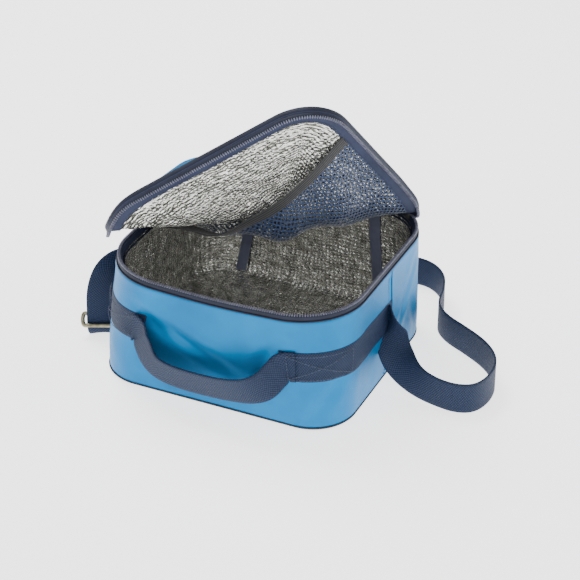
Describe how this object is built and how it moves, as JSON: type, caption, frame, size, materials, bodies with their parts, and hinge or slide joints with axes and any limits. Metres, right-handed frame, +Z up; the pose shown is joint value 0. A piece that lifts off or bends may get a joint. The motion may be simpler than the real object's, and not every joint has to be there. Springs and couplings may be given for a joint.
{
  "type": "insulated cooler bag",
  "caption": "Small soft insulated cooler bag with a zipped padded lid folded open, foil lining, a front webbing handle and an adjustable shoulder strap.",
  "frame": {"origin": "middle of the underside of the base, on the surface the bag stands on", "axes": "+X to the right along the front (the side with the handle), +Y to the hinged back edge of the lid, +Z up"},
  "size_m": [0.3864, 0.2949, 0.2631],
  "materials": {
    "blue_fabric": "satin coated nylon weave",
    "base_fabric": "matt dark nylon",
    "foam": "closed-cell foam sheet",
    "foil": "crinkled metallised film",
    "binding": "matt woven binding",
    "webbing": "coarse woven nylon webbing",
    "zipper_tape": "fine woven tape",
    "zipper_coil": "moulded nylon coil",
    "mesh": "open hexagonal net",
    "elastic": "ribbed elastic",
    "slider_metal": "gunmetal",
    "adjuster_metal": "antique nickel plate"
  },
  "bodies": {
    "bag": {"base_panel": "base_fabric", "base_foam": "foam", "base_liner": "foil", "outer_front_wrap": "blue_fabric", "outer_back_wrap": "blue_fabric", "wall_foam_front": "foam", "wall_foam_back": "foam", "liner_front_wrap": "foil", "liner_back_panel": "foil", "liner_binding_left": "binding", "liner_binding_right": "binding", "rim_facing": "binding", "zipper_tape_body": "zipper_tape", "zipper_coil_body": "zipper_coil", "zipper_stops": "zipper_coil", "hinge_strip": "zipper_tape", "handle_band_left": "webbing", "handle_band_right": "webbing", "shoulder_strap_right": "webbing", "shoulder_strap_left": "webbing"},
    "lid_rear": {"lid_shell_rear": "blue_fabric", "lid_foam_rear": "foam", "lid_liner_rear": "foil", "lid_border_rear": "binding", "zipper_tape_lid_rear": "zipper_tape", "zipper_coil_lid_rear": "zipper_coil", "mesh_pocket_rear": "mesh", "pocket_elastic_rear": "elastic"},
    "lid_front": {"lid_shell_front": "blue_fabric", "lid_foam_front": "foam", "lid_liner_front": "foil", "lid_border_front": "binding", "zipper_tape_lid_front": "zipper_tape", "zipper_coil_lid_front": "zipper_coil", "mesh_pocket_front": "mesh", "pocket_elastic_front": "elastic"},
    "slider": {"zipper_slider": "slider_metal"},
    "pull": {"zipper_pull": "slider_metal"},
    "handle": {"handle_loop": "webbing"},
    "adjuster": {"strap_adjuster": "adjuster_metal"}
  },
  "joints": [
    {"name": "lid_hinge", "type": "hinge", "parent": "bag", "child": "lid_rear", "pos_m": [0, 0.107, 0.1155], "axis": [-1, 0, 0], "range_deg": [-5, 145]},
    {"name": "lid_fold", "type": "hinge", "parent": "lid_rear", "child": "lid_front", "pos_m": [0.112, 0.087, 0.12779], "axis": [-0.7884, -0.6128, 0.0536], "range_deg": [-64, 26]},
    {"name": "slider_travel", "type": "hinge", "parent": "bag", "child": "slider", "pos_m": [0.071, 0.06, 0.113], "axis": [0, 0, 1], "range_deg": [-43, 0]},
    {"name": "pull_flip", "type": "hinge", "parent": "slider", "child": "pull", "pos_m": [0.10185, 0.09948, 0.1145], "axis": [0.788, -0.6157, 0], "range_deg": [0, 150]},
    {"name": "handle_swing", "type": "hinge", "parent": "bag", "child": "handle", "pos_m": [0, -0.1102, 0.079], "axis": [-1, 0, 0], "range_deg": [0, 140]},
    {"name": "adjuster_slide", "type": "slide", "parent": "bag", "child": "adjuster", "axis": [0, 0, 1], "range_m": [0, 0.02]}
  ]
}
